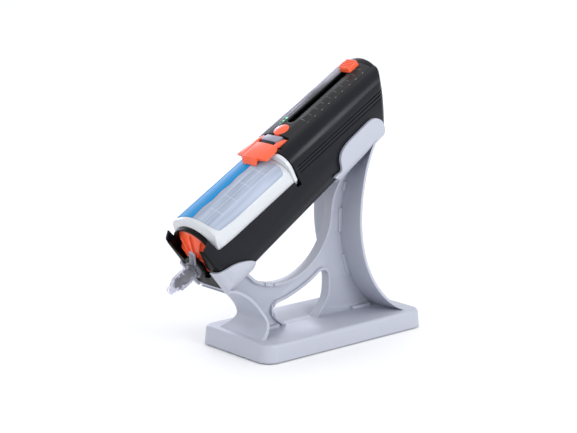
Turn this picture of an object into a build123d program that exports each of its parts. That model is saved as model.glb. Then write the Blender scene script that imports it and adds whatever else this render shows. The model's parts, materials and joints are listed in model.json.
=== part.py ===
from build123d import *
import os
from math import cos, radians, sin, sqrt

os.makedirs("parts", exist_ok=True)

# A battery dispenser and mixer for a large two-part dental cartridge, parked in its
# table stand. The dispenser leans back by the tilt, its mixing tip pointing down to
# the front. Origin: under the middle of the whole object, on the table. -Y is the
# tip's side, +Z is up. Millimetres.

# Stand
base_width = 110
base_length = 219
base_corner = 15
base_top = 20
base_rim = 1.5
base_wall = 3
base_edge = 4
foot_radius = 7
foot_inset = 15
foot_height = 4
web_thickness = 4
rim_thickness = 3
rim_half = 6
window_rim = 2.8
arch_y = -50
arch_z = 135
arch_radius = 69
leg_thickness = 3
leg_half = 20
column_thickness = 3
column_half = 36
cradle_wall = 3
seat_gap = 0.2
flange_height = 3
flange_half = 9
tab_width = 4.6
tab_half = 4
screw_radius = 1.5
screw_head = 3.2

# Where the dispenser lies: its crest's front end, seen from the middle of the base
tilt = 30
reach = 183.1
front_height = 143.1

# Dispenser housing, in its own measures: s runs rearward along it, d is the depth
# below its crest line, x is across
body_half = 36.8
belly = 30.5
body_taper = 0.049
body_corner = 20
body_shoulder = 21
crease_x = 21
crease_d = 4
nose_half = 29.8
nose_straight = 45
rear_s = 283
wall = 2.6
body_gap = 0.3
parting_d = 26
groove = 0.8
groove_width = 1.3
groove_depth = 0.9
groove_pitch = 3.6
bay_start = 131
fascia_thickness = 1.4
fascia_start = 141
fascia_end = 278
slot_half = 5.3
slot_start = 171.5
slot_end = 276
face_thickness = 2
face_lean = 0.154
band_front = 10
band_rear = 15
band_thickness = 2
band_crest = 12
band_half = 29.5
hole_drop = 2
hole_radius = 15.3
post_radius = 2.5

# Cartridge
shell_rear = 125
shell_wall = 1.6
shell_crest = 6.5
shell_bottom = 34.3
bay_wall_d = shell_bottom + body_gap
flange_front = 125.3
flange_rear = 129
base_x = -11.5
base_d = 31.4
base_radius = 20.2
catalyst_x = 21.5
catalyst_d = 32
catalyst_radius = 10.8
barrel_wall = 1.5
barrel_front = 20
barrel_end_wall = 6
piston_length = 11
piston_rest = 128.9
piston_fit = 0.1
outlet_s = 8
outlet_radius = 10
cap_gap = 0.6
rib_thickness = 1.8
rib_height = 2.6

# Mixing tip and its drive
shaft_gap = 1.4
shaft_d = base_d + base_radius + shaft_gap
body_depth = shaft_d + belly
hole_depth = shaft_d + hole_drop
shaft_radius = 3
tip_radius = 8
tip_wall = 1.1
tip_front = -36
tip_seat = 1.8
tab_angle = -62
fit = 0.05
module = 1
wheel_teeth = 24
pinion_teeth = 12
feed_teeth = 30
gear_start = 140
gear_width = 6
mesh_angle = 156.5

# Feed drive
disc_front = 129.4
disc_thickness = 4
rod_radius = 5
thin_rod_radius = 3.5
bulkhead_start = 134
bulkhead_thickness = 4
carriage_start = 232
carriage_length = 12
travel = 85
screw_x = 6.5
screw_d = 36
lead_radius = 4
feed_start = 249
rear_plate_start = 246.5
plate_thickness = 2
plate_gap = 0.2
mixer_motor_radius = 11
mixer_motor_length = 42
feed_motor_radius = 11.5
feed_motor_length = 46
cell_radius = 9.2
cell_length = 65
cell_start = 46
cell_x = 18.5
cell_drop = 12.5
cell_d = shaft_d + cell_drop
carriage_low = 43
arm_d = 15.6
arm_depth = 3.6
arm_half = 4

# Controls
button_s = 160
button_radius = 8.4
button_travel = 1.5
board_d = 13
board_thickness = 1.6
board_front = 139
board_rear = 170
board_wing_rear = 201
knob_length = 16
knob_half = 8.5
knob_height = 5.5
knob_s = 267
post_length = 8
pin_s = 146
pin_d = 7
pin_radius = 1.5
ear_radius = 5.4
ear_inside = 13
ear_outside = 18
latch_end = 136
latch_gap = 1.5
light_radius = 1.2
light_places = ((-10.5, 168.2), (-10.5, 173.3), (-10.5, 178.4))
socket_d = 38
socket_radius = 4.5
socket_bore = 2.75
socket_lead = 0.9
socket_end = 273.6

# The middle of the whole object's length is the origin: the front is the nozzle's
# lowest edge, the rear is the base's end
nozzle_radius = 4
front_end = (-reach + tip_front * cos(radians(tilt)) + (shaft_d - nozzle_radius) * sin(radians(tilt)))
base_y = -(front_end + base_length / 2) / 2

along = Vector(0, cos(radians(tilt)), sin(radians(tilt)))
rise = Vector(0, -sin(radians(tilt)), cos(radians(tilt)))
crest = Vector(0, base_y - reach, front_height)
stand_side = Plane(origin=(0, base_y, 0), x_dir=(0, 1, 0), z_dir=(1, 0, 0))


def at(x, d, s):
    """A plane across the dispenser with its own origin at x, d; local y is depth."""
    return Plane(origin=crest + Vector(x, 0, 0) - rise * d + along * s, x_dir=(1, 0, 0), z_dir=along)


def across(s):
    return at(0, 0, s)


def from_side(x):
    """A plane along the dispenser: local x is s and local y is depth."""
    return Plane(origin=crest + Vector(x, 0, 0), x_dir=along, z_dir=(-1, 0, 0))


def from_above(d):
    """A plane parallel to the crest line: local x is across and local y is s."""
    return Plane(origin=crest - rise * d, x_dir=(1, 0, 0), z_dir=rise)


def held(s, d):
    """A point of the dispenser as the stand's side view sees it."""
    c = cos(radians(tilt))
    n = sin(radians(tilt))
    return (-reach + c * s + n * d, front_height + n * s - c * d)


def floor_at(s):
    return body_depth - body_taper * s


def beside(points, gap):
    """The same run of points moved sideways by a gap, to the left of its direction."""
    moved = []
    for i, point in enumerate(points):
        before = Vector(*points[max(i - 1, 0)])
        after = Vector(*points[min(i + 1, len(points) - 1)])
        heading = (after - before).normalized()
        moved.append((point[0] - heading.Y * gap, point[1] + heading.X * gap))
    return moved


# Housing: cross-sections with a crowned top strip, a shoulder and round lower
# corners, narrowing to the nose, cut by a leaning face and a rounded leaning rear


def housing_form(grow, open_nose=False):
    with BuildPart() as plan:
        for d, rear in ((-15, 3), (28, -5.5), (55, -17.5), (100, -45)):
            front = -30 if open_nose else face_lean * (d - parting_d) + 0.7 - grow
            back = rear_s + rear + grow
            with BuildSketch(from_above(d)):
                with BuildLine():
                    ThreePointArc((-25, front), (0, front - 0.6), (25, front))
                    ThreePointArc((-27, back - 4), (0, back), (27, back - 4))
                    for side in (-1, 1):
                        edge = body_half + grow
                        ThreePointArc((side * 25, front), (side * 29.3, front + 1.6), (side * 33, front + 6))
                        Line((side * 33, front + 6), (side * 60, front + 40))
                        Line((side * 60, front + 40), (side * 60, back - 60))
                        Line((side * 60, back - 60), (side * (edge + 1), back - 21))
                        ThreePointArc((side * (edge + 1), back - 21), (side * 33.3, back - 9), (side * 27, back - 4))
                make_face()
        loft()
    with BuildPart() as form:
        lengths = ((-9, nose_half - 2.6, 13), (8, 32.9, 16), (24, 35.8, 19.5), (nose_straight, body_half, body_shoulder))
        loft([housing_section(s, half + grow, shoulder, grow) for s, half, shoulder in lengths])
        ends = (nose_straight, rear_s + 12)
        loft([housing_section(s, body_half + grow, body_shoulder, grow) for s in ends], ruled=True)
        add(plan.part, mode=Mode.INTERSECT)
    return form.part


def housing_section(s, edge, shoulder, grow):
    low = floor_at(s) + grow
    turn = body_corner + grow
    crown = crease_d - grow * 0.96
    with BuildSketch(across(s)) as outline:
        with BuildLine():
            ThreePointArc((-crease_x, crown), (0, -grow), (crease_x, crown))
            for side in (-1, 1):
                TangentArc((side * edge, shoulder), (side * crease_x, crown), tangent=(0, -1))
                Line((side * edge, shoulder), (side * edge, low - turn))
                TangentArc((side * edge, low - turn), (side * (edge - turn), low), tangent=(0, 1))
            Line((turn - edge, low), (edge - turn, low))
        make_face()
    return outline.sketch


outer = housing_form(0)
inner = housing_form(-wall, open_nose=True)
snug = housing_form(body_gap)
sleeve = housing_form(body_gap + cradle_wall)
clear = housing_form(body_gap + cradle_wall + seat_gap)
strip_under = housing_form(-fascia_thickness)
strip_seat = housing_form(-fascia_thickness - seat_gap / 2)
plates = housing_form(-wall - plate_gap)

# Stand base: a low tray, open below, with a soft top edge

with BuildPart() as stand_base:
    with BuildSketch(Plane(origin=(0, base_y, base_rim))):
        RectangleRounded(base_width, base_length, base_corner)
    extrude(amount=base_top - base_rim, taper=5)
    fillet(stand_base.faces().sort_by(Axis.Z)[-1].edges(), base_edge)
    offset(amount=-base_wall, openings=stand_base.faces().sort_by(Axis.Z)[0])
    with BuildSketch(Plane(origin=(0, base_y, foot_height))):
        with GridLocations(base_width - 2 * foot_inset - 6, base_length - 2 * foot_inset - 6, 2, 2):
            Circle(foot_radius + 1)
            Circle(foot_radius - 2, mode=Mode.SUBTRACT)
    extrude(amount=base_top - base_wall - foot_height + 0.5)
    with Locations((0, base_y - 66, 0), (0, base_y + 62, 0)):
        with GridLocations(11, 12, 2, 2):
            Hole(screw_radius + fit, depth=200)

with BuildPart() as base_feet:
    with BuildSketch(Plane(origin=(0, base_y, 0))):
        with GridLocations(base_width - 2 * foot_inset - 6, base_length - 2 * foot_inset - 6, 2, 2):
            Circle(foot_radius)
    extrude(amount=foot_height)
    chamfer(base_feet.faces().sort_by(Axis.Z)[0:4].edges(), 0.8)

# Rear column: a thin sheet, hollow to the front, rising from the base and bowing
# more and more until it follows the underside of the dispenser


def column_form(thickness, half):
    spine = (
        (82, 0, 90, 1.25, -6.5),
        (60.5, 43, 126, 1.08, 0.4),
        (44.5, 72, 111, 1.01, 1.2),
        (37.4, 103.7, 92, 1, 2.8),
        (42, 150, 77, 1, 7),
        (56, 184, 60, 1.01, 12.5),
    )
    with BuildPart() as sheet:
        for y, z, heading, spread, bow in spine:
            lift = z if z > 0 else base_top
            normal = (0, cos(radians(heading)), sin(radians(heading)))
            with BuildSketch(Plane(origin=(0, base_y + y, lift), x_dir=(1, 0, 0), z_dir=normal)):
                make_face(column_section(half * spread, bow, thickness))
        top = held(rear_s - 32, floor_at(rear_s - 32) + body_gap + cradle_wall + 1)
        with BuildSketch(Plane(origin=(0, base_y + top[0], top[1]), x_dir=(1, 0, 0), z_dir=along)):
            make_face(column_section(half * 1.03, 18.6, thickness))
        loft()
    return sheet.part


def column_section(half, bow, thickness):
    with BuildLine() as edge:
        ThreePointArc((-half, -bow - thickness / 2), (0, -thickness / 2), (half, -bow - thickness / 2))
        ThreePointArc((-half, -bow + thickness / 2), (0, thickness / 2), (half, -bow + thickness / 2))
        Line((-half, -bow - thickness / 2), (-half, -bow + thickness / 2))
        Line((half, -bow - thickness / 2), (half, -bow + thickness / 2))
    return edge.edges()


with BuildPart() as back_column:
    add(column_form(column_thickness, column_half))
    add(clear, mode=Mode.SUBTRACT)

# Front leg: a sheet bent like a shin, standing on the base with a spread foot and
# meeting the front cradle from below

leg_line = [
    (-100, base_top - 5),
    (-91, 21.5),
    (-84.3, 26.8),
    (-81.5, 32),
    (-83.9, 41.1),
    (-89.8, 49.9),
    (-100, 60.6),
    (-109.3, 67.3),
    (-120, 72.6),
    (-130, 74.5),
    (-137, 75.5),
]


def leg_form(under, over):
    with BuildPart() as sheet:
        with BuildSketch(stand_side):
            with BuildLine():
                low = beside(leg_line, under)
                high = beside(leg_line, -over)
                Spline(*low)
                Spline(*high)
                Line(low[0], high[0])
                Line(low[-1], high[-1])
            make_face()
        extrude(amount=base_width / 2 - base_corner, both=True)
    return sheet.part


with BuildPart() as front_leg:
    add(leg_form(leg_thickness, 0))
    with BuildSketch(Plane.XZ.offset(-base_y)):
        with BuildLine():
            foot = leg_half * 1.7
            left = Spline((-leg_half, 48), (-leg_half * 1.15, 36), (-leg_half * 1.35, 28), (-foot, base_top))
            Line((-leg_half, 48), (-leg_half, 100))
            right = Spline((leg_half, 48), (leg_half * 1.15, 36), (leg_half * 1.35, 28), (foot, base_top))
            Line((leg_half, 48), (leg_half, 100))
            Line((-leg_half, 100), (leg_half, 100))
            Line((-foot, base_top), (-foot, base_top - 9))
            Line((foot, base_top), (foot, base_top - 9))
            Line((-foot, base_top - 9), (foot, base_top - 9))
        make_face()
    extrude(amount=base_length, both=True, mode=Mode.INTERSECT)
    with BuildSketch(Plane(origin=(0, base_y, 0))):
        Rectangle(base_width, base_length)
    extrude(amount=base_top, mode=Mode.SUBTRACT)
    with BuildSketch(stand_side):
        under = body_gap + cradle_wall + seat_gap
        front = held(-30, floor_at(-30) + under)
        rear = held(120, floor_at(120) + under)
        Polygon(front, rear, (rear[0], 250), (front[0], 250), align=None)
    extrude(amount=base_width / 2, both=True, mode=Mode.SUBTRACT)

# Side web: one upright plate between leg, column and cradles, with a hand-high
# scoop on top, a rounded triangular window below and a rim along both

scoop_dip = (-84, 75)
scoop_top = held(42.9, 83.2)
scoop_lead = held(38, 76)
snap_tabs = ((45.6, 171.2, 8, 67), (39.4, 154, 10, 73), (33.6, 118.5, 26, 88), (42, 69.5, 25, 111))
window_line = [
    (-45, base_top - 2),
    (-50.5, 23),
    (-58.5, 30),
    (-62.3, 38.2),
    (-58.5, 45.8),
    (-48, 49.2),
    (-35.3, 52.6),
    (-16.9, 59.8),
    (-2, 68),
    (7.5, 72),
    (16, 68.5),
    (18.8, 58),
    (18.5, 47),
    (15.8, 36),
    (9, 27),
    (0, base_top - 2),
]


def scoop_edge(extra):
    """The scoop's top line: down from the front cradle, round, and up to the rear one."""
    low_y = arch_y + (arch_radius + extra) * cos(radians(240.5))
    low_z = arch_z + (arch_radius + extra) * sin(radians(240.5))
    side = Vector(scoop_dip[0] - scoop_top[0], scoop_dip[1] - scoop_top[1]).normalized()
    start = (scoop_lead[0] + side.Y * extra, scoop_lead[1] - side.X * extra)
    knee = (scoop_top[0] + side.Y * extra, scoop_top[1] - side.X * extra)
    end = held(213, 66)
    with BuildLine() as line:
        Line(start, knee)
        Line(knee, (low_y, low_z))
        CenterArc((arch_y, arch_z), arch_radius + extra, 240.5, 119.5)
        Spline(
            (arch_y + arch_radius + extra, arch_z),
            (arch_y + arch_radius + 1.6 + extra, arch_z + 17),
            (end[0] + extra * 0.87, end[1] - extra * 0.5),
            tangents=((0, 1), (0.5, 0.87)),
        )
    return line.line


with BuildPart() as side_web:
    with BuildSketch(stand_side):
        with BuildLine():
            top = scoop_edge(0)
            add(top)
            column_top = held(236, 66)
            Line(top @ 1, column_top)
            Line(column_top, (56, 184))
            Spline((56, 184), (42, 150), (37.4, 103.7), (44.5, 72), (60.5, 43), (82, base_top))
            Polyline(
                (82, base_top),
                (-94, base_top),
                (-84, 27),
                (-82, 33),
                (-88, 49),
                (-109, 68),
                (-134, 73.5),
                top @ 0,
            )
        make_face()
    extrude(amount=web_thickness / 2, both=True)
    with BuildSketch(stand_side):
        with BuildLine():
            near = scoop_edge(0)
            add(near)
            far = scoop_edge(rim_thickness)
            add(far)
            Line(near @ 0, far @ 0)
            Line(near @ 1, far @ 1)
        make_face()
    extrude(amount=column_half, both=True)
    with BuildSketch(Plane.XZ.offset(-base_y)):
        with BuildLine():
            for side in (-1, 1):
                Line((side * rim_half, 0), (side * rim_half, 120))
                Spline((side * rim_half, 120), (side * rim_half * 1.5, 150), (side * rim_half * 4, 178))
                Line((side * rim_half * 4, 178), (side * rim_half * 4, 220))
            Line((-rim_half, 0), (rim_half, 0))
            Line((-rim_half * 4, 220), (rim_half * 4, 220))
        make_face()
    extrude(amount=base_length, both=True, mode=Mode.INTERSECT)
    with BuildSketch(stand_side):
        with BuildLine():
            Spline(*beside(window_line, -window_rim))
            Line(beside(window_line, -window_rim)[0], beside(window_line, -window_rim)[-1])
        make_face()
    extrude(amount=column_half, both=True, mode=Mode.SUBTRACT)
    with BuildSketch(stand_side):
        with BuildLine():
            Spline(*window_line)
            Spline(*beside(window_line, -window_rim))
            Line(window_line[0], beside(window_line, -window_rim)[0])
            Line(window_line[-1], beside(window_line, -window_rim)[-1])
        make_face()
    extrude(amount=rim_half - 0.5, both=True)
    with BuildSketch(Plane(origin=(0, base_y, base_top))):
        with Locations((0, -66), (0, 62)):
            RectangleRounded(2 * flange_half, 26, 3)
    extrude(amount=flange_height)
    with BuildSketch(stand_side):
        for y, z, length, heading in snap_tabs:
            with Locations((y, z)):
                SlotOverall(length, tab_width, rotation=heading)
    extrude(amount=tab_half, both=True)
    with BuildSketch(Plane(origin=(0, base_y, 0))):
        Rectangle(base_width, base_length)
    extrude(amount=base_top, mode=Mode.SUBTRACT)
    with Locations((0, base_y - 66, base_top + 100), (0, base_y + 62, base_top + 100)):
        with GridLocations(11, 12, 2, 2):
            Hole(screw_radius + fit, depth=200)
    add(clear, mode=Mode.SUBTRACT)
    add(column_form(column_thickness + 2 * seat_gap, column_half + 1), mode=Mode.SUBTRACT)
    add(leg_form(leg_thickness + seat_gap, seat_gap), mode=Mode.SUBTRACT)

with BuildPart() as base_screws:
    with BuildSketch(Plane(origin=(0, base_y, base_top - base_wall))):
        with Locations((0, -66), (0, 62)):
            with GridLocations(11, 12, 2, 2):
                Circle(screw_radius)
    extrude(amount=base_wall + flange_height - 0.4)
    with BuildSketch(Plane(origin=(0, base_y, base_top - base_wall - 2))):
        with Locations((0, -66), (0, 62)):
            with GridLocations(11, 12, 2, 2):
                Circle(screw_head)
    extrude(amount=2)

# Cradles: shells that follow the dispenser's underside and reach up its sides as
# rounded wings

with BuildPart() as front_cradle:
    add(sleeve)
    add(snug, mode=Mode.SUBTRACT)
    with BuildSketch(from_side(0)):
        with BuildLine():
            Spline(
                (-7, body_depth - 25.5),
                (-5.7, body_depth - 32.1),
                (3.1, body_depth - 28.4),
                (12.8, body_depth - 28.4),
                (24.1, body_depth - 26.5),
                (35, body_depth - 21.2),
                (43.5, body_depth - 11.8),
                (41, body_depth - 6.5),
            )
            Line((41, body_depth - 6.5), (41, body_depth + 11.5))
            Line((41, body_depth + 11.5), (2, body_depth + 11.5))
            Line((2, body_depth + 11.5), (-3, body_depth - 9.5))
            Line((-3, body_depth - 9.5), (-7, body_depth - 25.5))
        make_face()
    extrude(amount=body_half + 10, both=True, mode=Mode.INTERSECT)
    with BuildSketch(from_side(0)):
        with Locations((-8, body_depth - 13.5)):
            Rectangle(34, 60)
    extrude(amount=crease_x, both=True, mode=Mode.SUBTRACT)

with BuildPart() as rear_cradle:
    add(sleeve)
    add(snug, mode=Mode.SUBTRACT)
    with BuildSketch(from_side(0)):
        with BuildLine():
            Spline(
                (168.5, 62),
                (172, 61),
                (178.4, 61.5),
                (182.8, 51.2),
                (191.4, 42.9),
                (207.4, 40),
                (229, 39.1),
                (241.9, 40.5),
                (248.5, 47.1),
                (rear_s - 33, 54.1),
            )
            Line((rear_s - 33, 54.1), (rear_s - 33, body_depth + 11.5))
            Line((rear_s - 33, body_depth + 11.5), (180, body_depth + 11.5))
            Spline((180, body_depth + 11.5), (179, body_depth - 5.5), (175, body_depth - 13.5), (168.5, 62))
        make_face()
    extrude(amount=body_half + 10, both=True, mode=Mode.INTERSECT)

# Lower housing: the tray that carries everything. Its walls drop along the bay for
# the cartridge, whose floor has a channel for the drive shaft, and rise again at
# the nose

bay_floor = base_d + base_radius + body_gap
shelf_d = catalyst_d + catalyst_radius + body_gap

with BuildPart() as bay_tray:
    with BuildSketch(across(barrel_front + 0.5)):
        with BuildLine():
            channel = shaft_radius + 0.9
            thick = 2
            Line((-40, bay_floor), (-channel, bay_floor))
            Line((-channel, bay_floor), (-channel, shaft_d))
            ThreePointArc((-channel, shaft_d), (0, shaft_d + channel), (channel, shaft_d))
            Line((channel, shaft_d), (channel, bay_floor))
            Line((channel, bay_floor), (11.8, bay_floor))
            Line((11.8, bay_floor), (11.8, shelf_d))
            Line((11.8, shelf_d), (40, shelf_d))
            Line((40, shelf_d), (40, shelf_d + thick))
            Line((40, shelf_d + thick), (11.8 + thick, shelf_d + thick))
            Line((11.8 + thick, shelf_d + thick), (11.8 + thick, bay_floor + thick))
            Line((11.8 + thick, bay_floor + thick), (channel + thick, bay_floor + thick))
            Line((channel + thick, bay_floor + thick), (channel + thick, shaft_d + thick / 2))
            ThreePointArc(
                (channel + thick, shaft_d + thick / 2),
                (0, shaft_d + channel + thick),
                (-channel - thick, shaft_d + thick / 2),
            )
            Line((-channel - thick, shaft_d + thick / 2), (-channel - thick, bay_floor + thick))
            Line((-channel - thick, bay_floor + thick), (-40, bay_floor + thick))
            Line((-40, bay_floor + thick), (-40, bay_floor))
        make_face()
    extrude(amount=bulkhead_start - barrel_front - 1)
    for s in (cell_start + 10, cell_start + cell_length - 12):
        with BuildSketch(across(s)):
            with Locations((0, bay_floor + 16)):
                Rectangle(80, 30)
            with Locations((-cell_x, cell_d), (cell_x, cell_d)):
                Circle(cell_radius + body_gap, mode=Mode.SUBTRACT)
            with Locations((0, shaft_d)):
                Circle(channel, mode=Mode.SUBTRACT)
        extrude(amount=2)
    add(housing_form(-wall / 2), mode=Mode.INTERSECT)

with BuildPart() as side_grooves:
    add(snug)
    add(housing_form(-groove_depth), mode=Mode.SUBTRACT)
    with BuildSketch(from_side(0)):
        for d in (parting_d - groove_pitch, parting_d - groove / 4, parting_d + groove_pitch):
            with Locations(((bay_start + rear_s) / 2 + 12, d)):
                Rectangle(rear_s - bay_start + 16, groove_width)
    extrude(amount=body_half + 10, both=True, mode=Mode.INTERSECT)

with BuildPart() as lower_housing:
    add(outer)
    add(inner, mode=Mode.SUBTRACT)
    add(side_grooves.part, mode=Mode.SUBTRACT)
    add(bay_tray.part)
    with BuildSketch(at(0, socket_d, socket_end - 20)):
        Circle(socket_radius + 0.1)
    extrude(amount=40, mode=Mode.SUBTRACT)
    with BuildSketch(from_side(0)):
        with BuildLine():
            Polyline(
                (-30, -20),
                (-30, 26.5),
                (0, 26.5),
                (11, 20),
                (band_rear, bay_wall_d),
                (flange_front - 0.5, bay_wall_d),
                (flange_front - 0.5, 41),
                (bay_start, 41),
                (bay_start, parting_d),
                (rear_s + 20, parting_d),
                (rear_s + 20, -20),
                (-30, -20),
            )
        make_face()
    extrude(amount=body_half + 10, both=True, mode=Mode.SUBTRACT)
    with BuildSketch(from_side(0)):
        with BuildLine():
            front = face_thickness + 0.7
            Polyline(
                (-30, -20),
                (face_lean * (-20 - parting_d) + front, -20),
                (face_lean * (100 - parting_d) + front, 100),
                (-30, 100),
                (-30, -20),
            )
        make_face()
    extrude(amount=body_half + 10, both=True, mode=Mode.SUBTRACT)

# Front bezel: the leaning face with the hole for the mixing tip, open to the top,
# two cheeks behind it, and the band that arches over the front of the cartridge


def arch_outline(crest_d, half, low):
    with BuildLine() as line:
        ThreePointArc((-half * 0.72, crest_d + 7.5), (0, crest_d), (half * 0.72, crest_d + 7.5))
        for side in (-1, 1):
            ThreePointArc(
                (side * half * 0.72, crest_d + 7.5),
                (side * half * 0.9, crest_d + 14.2),
                (side * half, crest_d + 22),
            )
            Line((side * half, crest_d + 22), (side * half, low))
        Line((-half, low), (half, low))
    return line.edges()


with BuildPart() as front_bezel:
    add(outer)
    with BuildSketch(from_side(0)):
        with BuildLine():
            front = face_thickness + 0.6
            Polyline(
                (-30, 26.5),
                (face_lean * 0.5 + front, 26.5),
                (face_lean * (100 - parting_d) + front, 100),
                (-30, 100),
                (-30, 26.5),
            )
        make_face()
    extrude(amount=body_half + 10, both=True, mode=Mode.INTERSECT)
    with BuildSketch(across(-20)):
        with BuildLine():
            ThreePointArc(
                (-hole_radius, hole_depth - 3),
                (0, hole_depth + hole_radius),
                (hole_radius, hole_depth - 3),
            )
            Line((-hole_radius, hole_depth - 3), (-25, 24))
            Line((hole_radius, hole_depth - 3), (25, 24))
            Line((-25, 24), (-25, 0))
            Line((25, 24), (25, 0))
            Line((-25, 0), (25, 0))
        make_face()
    extrude(amount=40, mode=Mode.SUBTRACT)
    for side in (-1, 1):
        with BuildSketch(from_side(side * (band_half - 2))):
            Polygon(
                (face_lean * (28 - parting_d) + 1.5, 28),
                (face_lean * (62 - parting_d) + 1.5, 62),
                (band_rear, 62),
                (band_rear, 28),
                align=None,
            )
        extrude(amount=0.7, both=True)
    with BuildSketch(across(band_front)):
        make_face(arch_outline(band_crest, band_half, 40))
        make_face(arch_outline(band_crest + band_thickness, band_half - band_thickness, 50), mode=Mode.SUBTRACT)
    extrude(amount=band_rear - band_front)

# Upper housing: the lid over the mechanism, with a shallow seat for the top panel,
# a pocket for the latch, two ribs for its hinge pin and posts for the circuit board

latch_pocket = latch_end + latch_gap

with BuildPart() as panel_seat:
    add(snug)
    add(strip_seat, mode=Mode.SUBTRACT)
    with BuildSketch(from_above(-10)):
        with Locations((0, (fascia_start + fascia_end) / 2)):
            Rectangle(2 * crease_x, fascia_end - fascia_start + 2 * seat_gap)
    extrude(amount=-22, mode=Mode.INTERSECT)

with BuildPart() as lid_posts:
    with BuildSketch(from_above(board_d)):
        with Locations((-26, board_front + 4), (26, board_front + 4), (-26, board_wing_rear - 6)):
            Circle(post_radius)
    extrude(amount=board_d)
    with BuildSketch(from_above(board_d - 0.4)):
        with Locations((-ear_outside - 1.5, pin_s), (ear_outside + 1.5, pin_s)):
            Rectangle(2.4, 11)
    extrude(amount=board_d)
    add(housing_form(-wall / 2), mode=Mode.INTERSECT)

with BuildPart() as upper_housing:
    add(outer)
    add(inner, mode=Mode.SUBTRACT)
    add(side_grooves.part, mode=Mode.SUBTRACT)
    with BuildSketch(from_side(0)):
        with BuildLine():
            Polyline(
                (-30, -20),
                (bay_start, -20),
                (bay_start, parting_d - groove / 2),
                (rear_s + 20, parting_d - groove / 2),
                (rear_s + 20, 120),
                (-30, 120),
                (-30, -20),
            )
        make_face()
    extrude(amount=body_half + 10, both=True, mode=Mode.SUBTRACT)
    add(lid_posts.part)
    add(panel_seat.part, mode=Mode.SUBTRACT)
    with BuildSketch(from_above(-10)):
        with Locations((0, (bay_start + latch_pocket) / 2 - 5)):
            Rectangle(2 * crease_x + 1.4, latch_pocket - bay_start + 10)
        with Locations((-ear_inside - 2.5, pin_s - 2), (ear_inside + 2.5, pin_s - 2)):
            Rectangle(ear_outside - ear_inside + 0.7, 2 * ear_radius + 6)
        with Locations((0, pin_s)):
            Rectangle(23, 11.4)
        with Locations((0, button_s)):
            Circle(button_radius + 1.5)
        with Locations((0, (slot_start + slot_end) / 2)):
            SlotOverall(slot_end - slot_start, 2 * slot_half, rotation=90)
        with Locations(*light_places):
            Circle(light_radius + 0.1)
    extrude(amount=-16, mode=Mode.SUBTRACT)
    with BuildSketch(from_side(0)):
        with Locations((pin_s, pin_d)):
            Circle(pin_radius + fit)
    extrude(amount=crease_x - 0.3, both=True, mode=Mode.SUBTRACT)

# Top panel: the inlaid strip with the slot of the slider and the hole of the button

with BuildPart() as top_panel:
    add(outer)
    add(strip_under, mode=Mode.SUBTRACT)
    with BuildSketch(from_above(-10)):
        with Locations((0, (fascia_start + fascia_end) / 2)):
            Rectangle(2 * (crease_x - seat_gap), fascia_end - fascia_start)
        with Locations((0, button_s)):
            Circle(button_radius + seat_gap, mode=Mode.SUBTRACT)
        with Locations((0, (slot_start + slot_end) / 2)):
            SlotOverall(slot_end - slot_start - 0.6, 2 * slot_half - 0.6, rotation=90, mode=Mode.SUBTRACT)
        with Locations((0, pin_s - 2)):
            Rectangle(2 * ear_outside + 0.7, 2 * ear_radius + 6, mode=Mode.SUBTRACT)
        with Locations(*light_places):
            Circle(light_radius + 0.1, mode=Mode.SUBTRACT)
    extrude(amount=-22, mode=Mode.INTERSECT)

# Hinge block between the latch's arms, and the pin through both

with BuildPart() as hinge_block:
    with BuildSketch(from_side(0)):
        with BuildLine():
            Polyline(
                (pin_s - 5.4, -0.6),
                (pin_s - 3, -0.9),
                (pin_s + 4.3, 0.6),
                (pin_s + 4.3, board_d),
                (pin_s - 5.4, board_d),
                (pin_s - 5.4, -0.6),
            )
        make_face()
    extrude(amount=11.2, both=True)
    with BuildSketch(from_side(0)):
        with Locations((pin_s, pin_d)):
            Circle(pin_radius + fit)
    extrude(amount=30, both=True, mode=Mode.SUBTRACT)

with BuildPart() as latch_pin:
    with BuildSketch(from_side(0)):
        with Locations((pin_s, pin_d)):
            Circle(pin_radius)
    extrude(amount=crease_x - 0.6, both=True)

# Latch: a crowned plate over the cartridge's rear flange, with a finger tongue in
# front and two arms with round ears behind

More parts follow.
